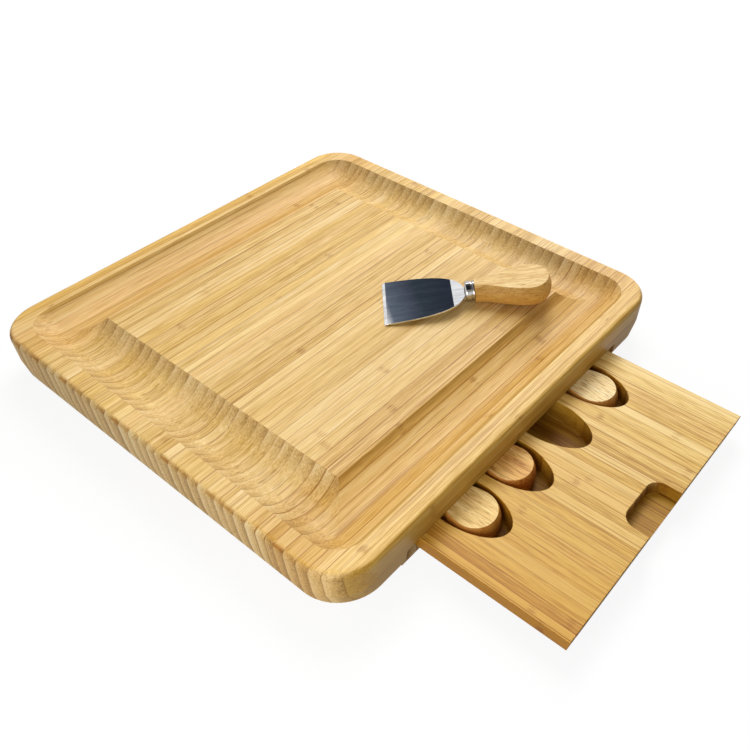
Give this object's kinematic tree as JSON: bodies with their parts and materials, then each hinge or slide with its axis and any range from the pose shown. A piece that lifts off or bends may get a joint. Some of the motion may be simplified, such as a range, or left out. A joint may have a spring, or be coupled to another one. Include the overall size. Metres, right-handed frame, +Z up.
{
  "type": "cheese board with drawer",
  "caption": "Square bamboo cheese board with a moat around its raised cutting area and a slide-out drawer that stores wooden-handled cheese tools; a flat cheese chisel lies on top.",
  "frame": {"origin": "centre of the raised cutting surface on top of the board", "axes": "+Z up out of the cutting surface, -Y the way the drawer pulls out, +X to the right seen from the drawer's front, along the bamboo strips of the top"},
  "size_m": [0.35, 0.4543, 0.0631],
  "materials": {
    "bamboo_top": "oiled bamboo strips",
    "bamboo_base": "oiled bamboo strips",
    "bamboo_drawer": "oiled bamboo strips",
    "handle_wood": "smooth turned hardwood",
    "blade_steel": "polished stainless steel",
    "ferrule_chrome": "polished",
    "screw_steel": "zinc plated"
  },
  "bodies": {
    "board": {"top_slab": "bamboo_top", "rail_left": "bamboo_base", "rail_right": "bamboo_base", "rail_back": "bamboo_base", "runner_left": "bamboo_base", "runner_right": "bamboo_base", "runner_screws": "screw_steel"},
    "drawer": {"drawer": "bamboo_drawer", "drawer_stop_peg": "handle_wood", "knife_blade": "blade_steel", "knife_ferrule": "ferrule_chrome", "knife_handle": "handle_wood", "fork_blade": "blade_steel", "fork_ferrule": "ferrule_chrome", "fork_handle": "handle_wood", "spade_blade": "blade_steel", "spade_ferrule": "ferrule_chrome", "spade_handle": "handle_wood"},
    "chisel": {"chisel_blade": "blade_steel", "chisel_ferrule": "ferrule_chrome", "chisel_handle": "handle_wood"}
  },
  "joints": [
    {"name": "drawer_slide", "type": "slide", "parent": "board", "child": "drawer", "axis": [0, -1, 0], "range_m": [-0.106, 0.107]},
    {"name": "chisel_lift", "type": "slide", "parent": "board", "child": "chisel", "axis": [0, 0, 1], "range_m": [0, 0.12]}
  ]
}
